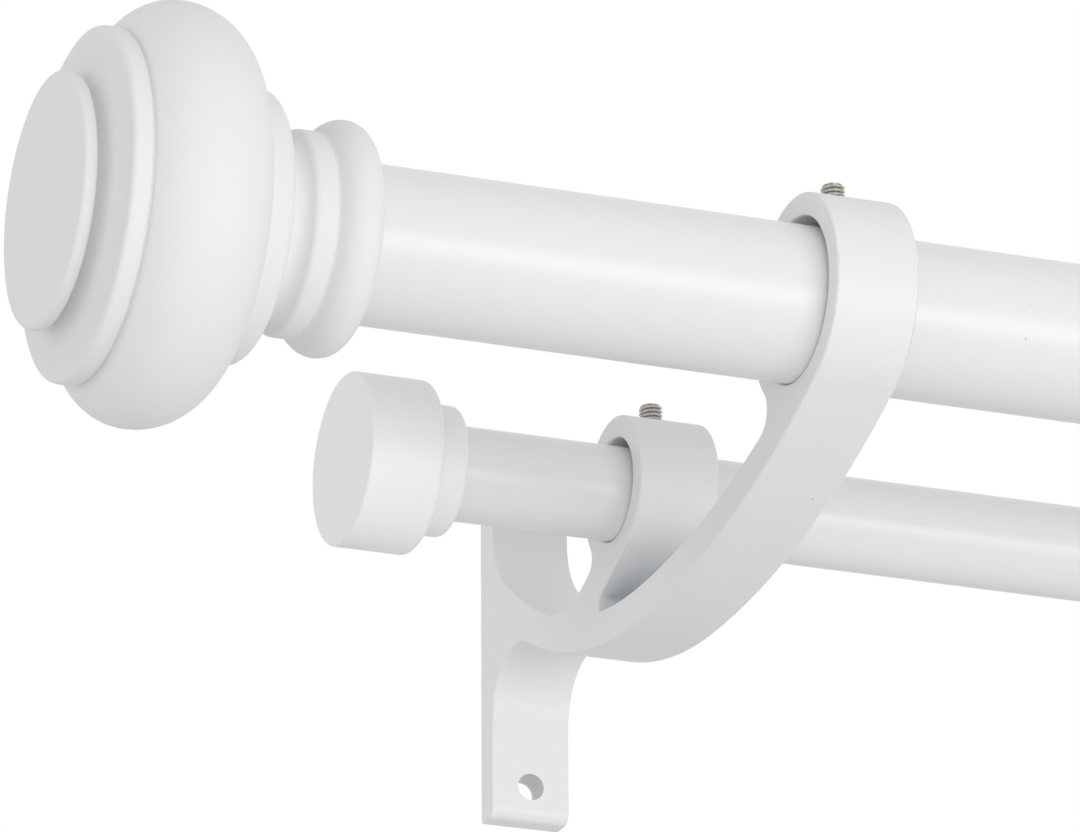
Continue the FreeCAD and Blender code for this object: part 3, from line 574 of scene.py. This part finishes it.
floor_drop = 0.62
floor_reach = 12.0
floor_mesh = bpy.data.meshes.new("studio_floor")
floor_mesh.from_pydata(
    [(x * floor_reach, y * floor_reach, -floor_drop) for x, y in ((-1, -1), (1, -1), (1, 1), (-1, 1))],
    [], [(0, 1, 2, 3)])
floor = bpy.data.objects.new("studio_floor", floor_mesh)
bpy.context.scene.collection.objects.link(floor)
floor_paint = bpy.data.materials.new("pale_floor")
floor_paint.use_nodes = True
tree = floor_paint.node_tree
tree.nodes.clear()
paint = add_node(tree, "ShaderNodeBsdfDiffuse", {}, {"Color": linear("#F4F4F4")})
clear = add_node(tree, "ShaderNodeBsdfTransparent", {}, {})
behind = add_node(tree, "ShaderNodeNewGeometry", {}, {}).outputs["Backfacing"]
glow = add_node(tree, "ShaderNodeEmission", {}, {"Color": linear("#FFFFFF"), "Strength": 1.0})
looked_at = add_node(tree, "ShaderNodeLightPath", {}, {}).outputs["Is Camera Ray"]
backlit = add_node(tree, "ShaderNodeMixShader", {}, {
    0: looked_at, 1: paint.outputs[0], 2: glow.outputs[0],
})
one_sided = add_node(tree, "ShaderNodeMixShader", {}, {
    0: behind, 1: backlit.outputs[0], 2: clear.outputs[0],
})
add_node(tree, "ShaderNodeOutputMaterial", {}, {"Surface": one_sided.outputs[0]})
floor_mesh.materials.append(floor_paint)

surround = bpy.data.worlds.new("white_surround")
bpy.context.scene.world = surround
surround.use_nodes = True
tree = surround.node_tree
tree.nodes.clear()
ray = add_node(tree, "ShaderNodeLightPath", {}, {}).outputs
seen_or_mirrored = add_node(tree, "ShaderNodeMath", {"operation": "MAXIMUM"}, {
    0: ray["Is Camera Ray"], 1: ray["Is Glossy Ray"],
})
seen = add_node(tree, "ShaderNodeMath", {"operation": "MAXIMUM"}, {
    0: seen_or_mirrored.outputs[0], 1: ray["Is Transmission Ray"],
})
fill = add_node(tree, "ShaderNodeBackground", {}, {"Color": linear("#FFFFFF"), "Strength": 0.67})
white = add_node(tree, "ShaderNodeBackground", {}, {"Color": linear("#FFFFFF"), "Strength": 1.0})
both = add_node(tree, "ShaderNodeMixShader", {}, {
    0: seen.outputs[0], 1: fill.outputs[0], 2: white.outputs[0],
})
add_node(tree, "ShaderNodeOutputWorld", {}, {"Surface": both.outputs[0]})


def soft_lamp(name, place, aim, width, height, watts):
    """A softbox of that size in metres, turned to face the point that it lights."""
    lamp = bpy.data.lights.new(name, "AREA")
    lamp.shape = "RECTANGLE"
    lamp.size = width
    lamp.size_y = height
    lamp.energy = watts
    stand = bpy.data.objects.new(name, lamp)
    stand.location = place
    stand.rotation_euler = (Vector(aim) - Vector(place)).to_track_quat("-Z", "Y").to_euler()
    bpy.context.scene.collection.objects.link(stand)


pole_low, pole_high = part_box("front_outer_tube")
pole_y = (pole_low.y + pole_high.y) / 2
lit_point = (0.0, pole_y, 0.0)
soft_lamp("front_softbox", (0.4, -1.7, -0.3), lit_point, width=2.0, height=0.6, watts=11.5)
soft_lamp("left_softbox", (-1.8, -0.5, 0.0), lit_point, width=1.2, height=1.0, watts=4.1)

# Camera
# It stands in front of the poles, below them and to the left, and looks up at their left end through a
# long lens.

aim = Vector((-0.0504, pole_y, -0.0127))
distance = 1.3104
turn = math.radians(21.68)
rise = math.radians(20.42)
roll = math.radians(-0.32)
forward = Vector((math.sin(turn) * math.cos(rise), math.cos(turn) * math.cos(rise), math.sin(rise)))
level = forward.cross(Vector((0, 0, 1))).normalized()
upright = level.cross(forward)
right = level * math.cos(roll) + upright * math.sin(roll)
up = upright * math.cos(roll) - level * math.sin(roll)
lens = bpy.data.cameras.new("photo_camera")
lens.sensor_width = 36
lens.lens = 281.1
lens.clip_end = 100
camera = bpy.data.objects.new("photo_camera", lens)
camera.matrix_world = Matrix((right, up, -forward)).transposed().to_4x4()
camera.location = aim - forward * distance
bpy.context.scene.collection.objects.link(camera)
bpy.context.scene.camera = camera

bpy.context.scene.view_settings.view_transform = "Standard"
